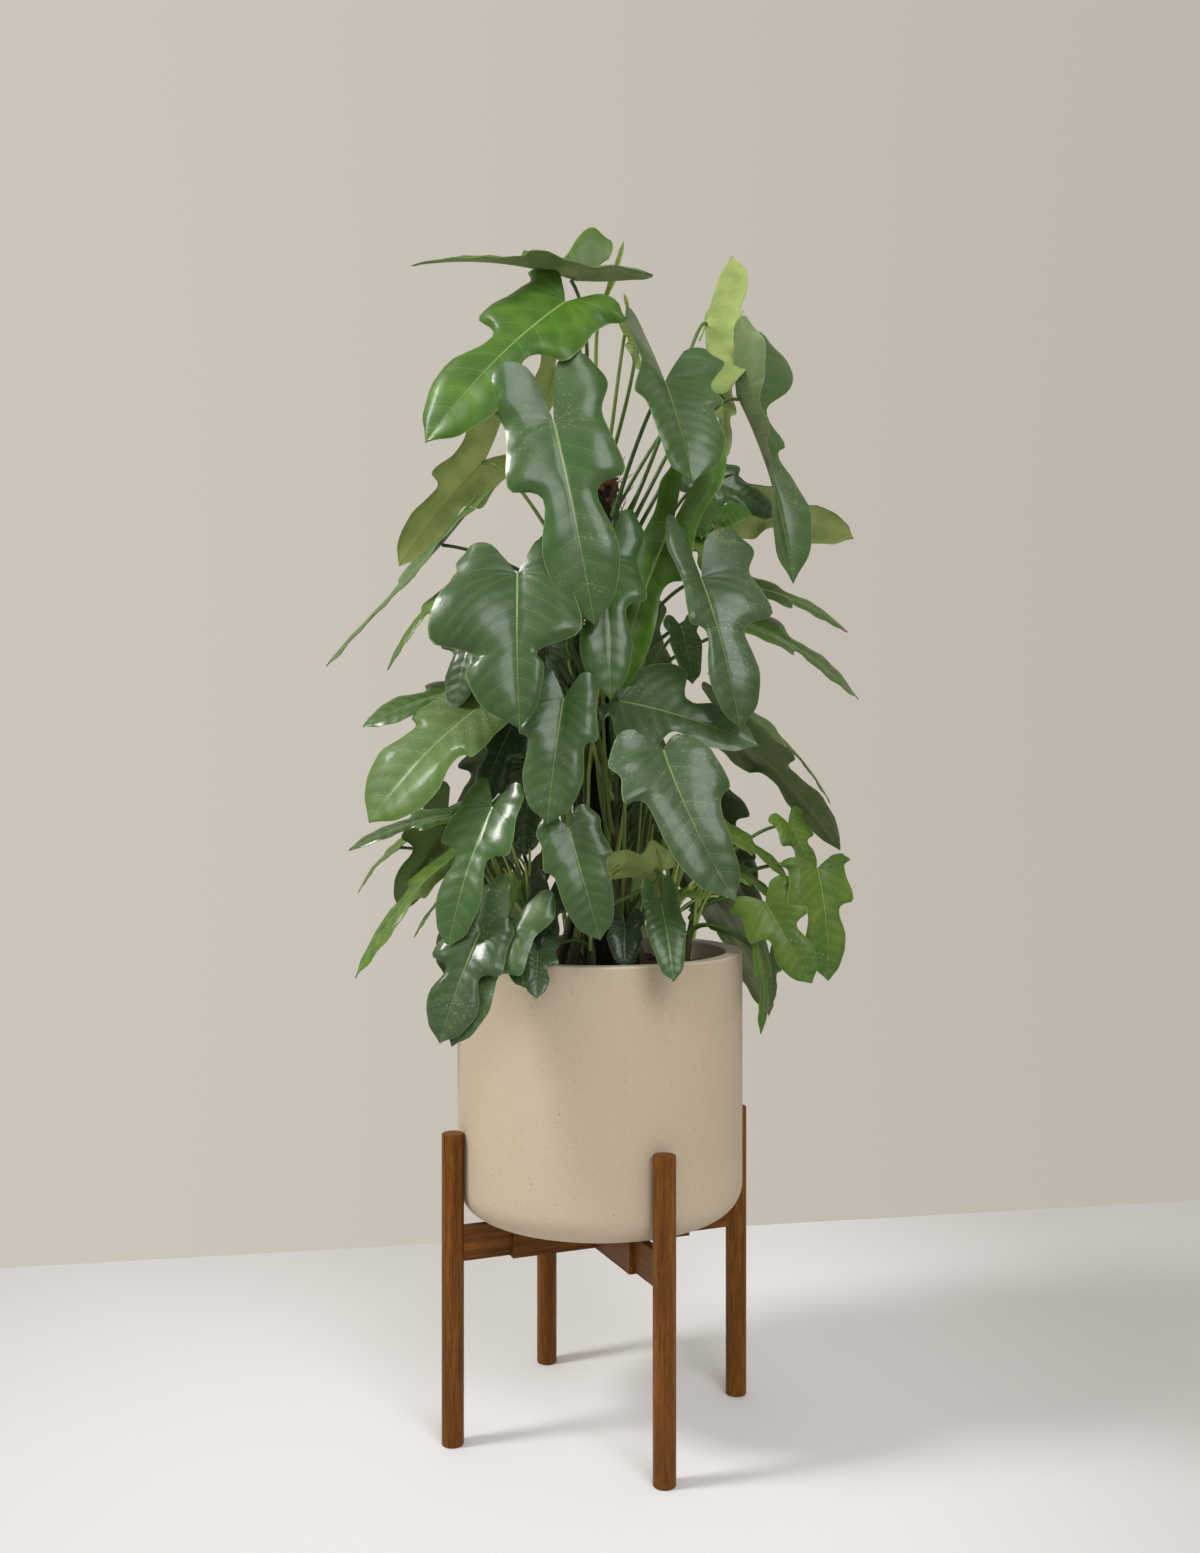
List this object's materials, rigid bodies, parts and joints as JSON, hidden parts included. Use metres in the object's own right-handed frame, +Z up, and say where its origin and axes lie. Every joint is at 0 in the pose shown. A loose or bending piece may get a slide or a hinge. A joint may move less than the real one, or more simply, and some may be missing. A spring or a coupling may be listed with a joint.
{
  "type": "potted philodendron",
  "caption": "Climbing philodendron with fiddle-shaped leaves on a bark pole, in a round ceramic pot held by a wooden cross stand with round legs.",
  "frame": {"origin": "on the floor, at the middle of the box round the whole object, straight below the middle of the pot", "axes": "+Z up along the bark pole, -Y towards the front"},
  "size_m": [0.5734, 0.4692, 1.2802],
  "materials": {
    "wood": "satin amber-brown varnish on bamboo-like wood",
    "ceramic": "matte beige stoneware with fine speckles",
    "soil": "dark damp potting soil with bark pieces",
    "bark": "rough dark bark and coir",
    "foliage": "leathery semi-gloss green leaves and stalks"
  },
  "bodies": {
    "root": {"leg_1": "wood", "leg_2": "wood", "leg_3": "wood", "leg_4": "wood", "cross_bar_1": "wood", "cross_bar_2": "wood", "cross_bar_3": "wood", "cross_bar_4": "wood", "cross_sleeve_1": "wood", "cross_sleeve_2": "wood", "pot": "ceramic", "soil": "soil", "bark_pole": "bark", "climbing_stem_1": "foliage", "climbing_stem_2": "foliage", "climbing_stem_3": "foliage", "climbing_stem_4": "foliage", "climbing_stem_5": "foliage", "base_shoot_1": "foliage", "base_shoot_2": "foliage", "base_shoot_3": "foliage", "base_shoot_4": "foliage", "base_shoot_5": "foliage", "base_shoot_6": "foliage", "base_shoot_7": "foliage", "base_shoot_8": "foliage"}
  },
  "joints": []
}
